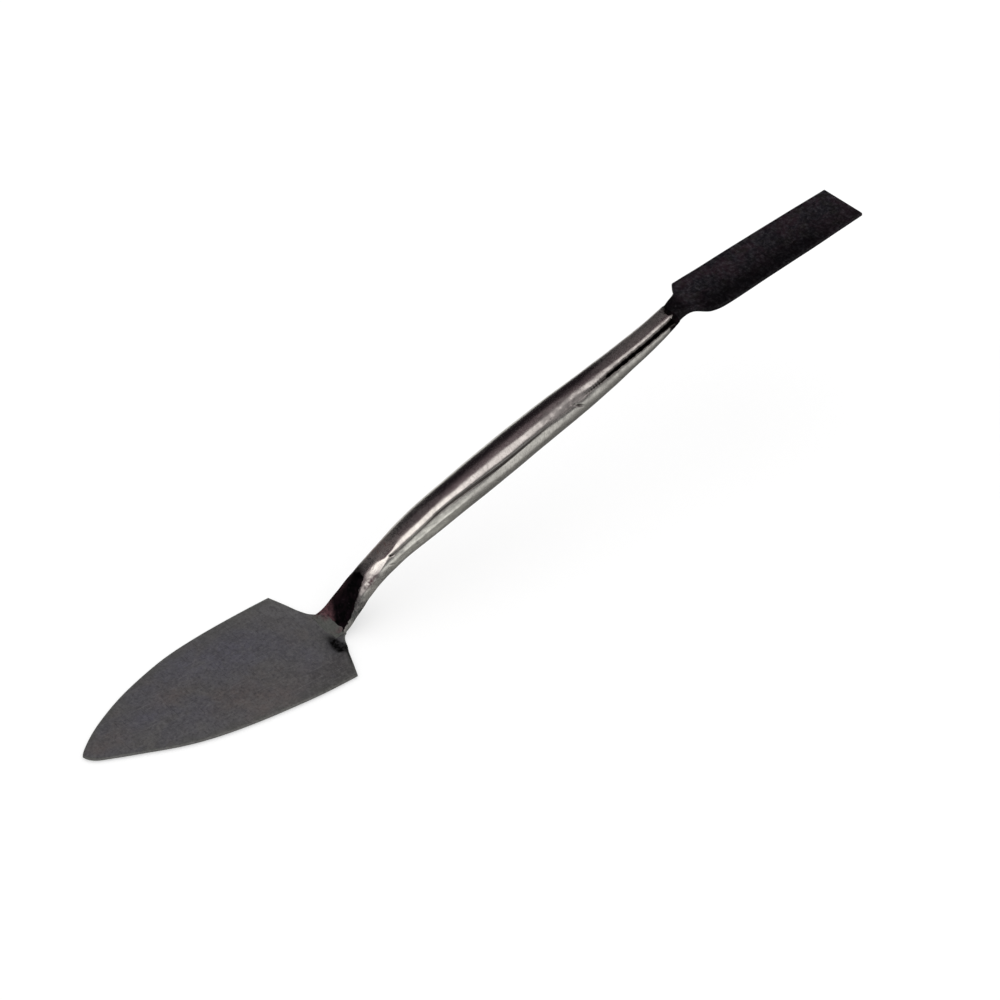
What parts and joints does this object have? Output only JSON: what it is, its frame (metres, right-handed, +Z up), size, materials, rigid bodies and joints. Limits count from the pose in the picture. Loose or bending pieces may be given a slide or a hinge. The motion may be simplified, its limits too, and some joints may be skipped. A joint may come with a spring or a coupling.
{
  "type": "double-ended modelling spatula",
  "caption": "All-steel double-ended hand tool: a leaf-shaped trowel on a cranked neck, a swelling polished handle and a flat square-ended spatula blade.",
  "frame": {"origin": "middle of the leaf's heel, on the leaf's flat underside", "axes": "+X from the leaf towards the square end, +Y across the tool, +Z up from the leaf's underside towards its upper face"},
  "size_m": [0.2509, 0.038, 0.0558],
  "materials": {
    "leaf_steel": "matte dark grey, as rolled",
    "scaled_steel": "black forging scale with a red-violet heat tint at the foot",
    "foot_weld_steel": "dull grey-green weld bead",
    "polished_steel": "bright, polished lengthwise",
    "ground_weld_steel": "weld ground flush and polished with the handle",
    "square_steel": "near black, satin, finely scratched"
  },
  "bodies": {
    "root": {"leaf_blade": "leaf_steel", "leaf_neck": "scaled_steel", "leaf_foot_weld": "foot_weld_steel", "handle_tube": "polished_steel", "handle_seam_weld": "ground_weld_steel", "leaf_end_weld": "ground_weld_steel", "square_blade": "square_steel", "square_end_weld": "ground_weld_steel"}
  },
  "joints": []
}
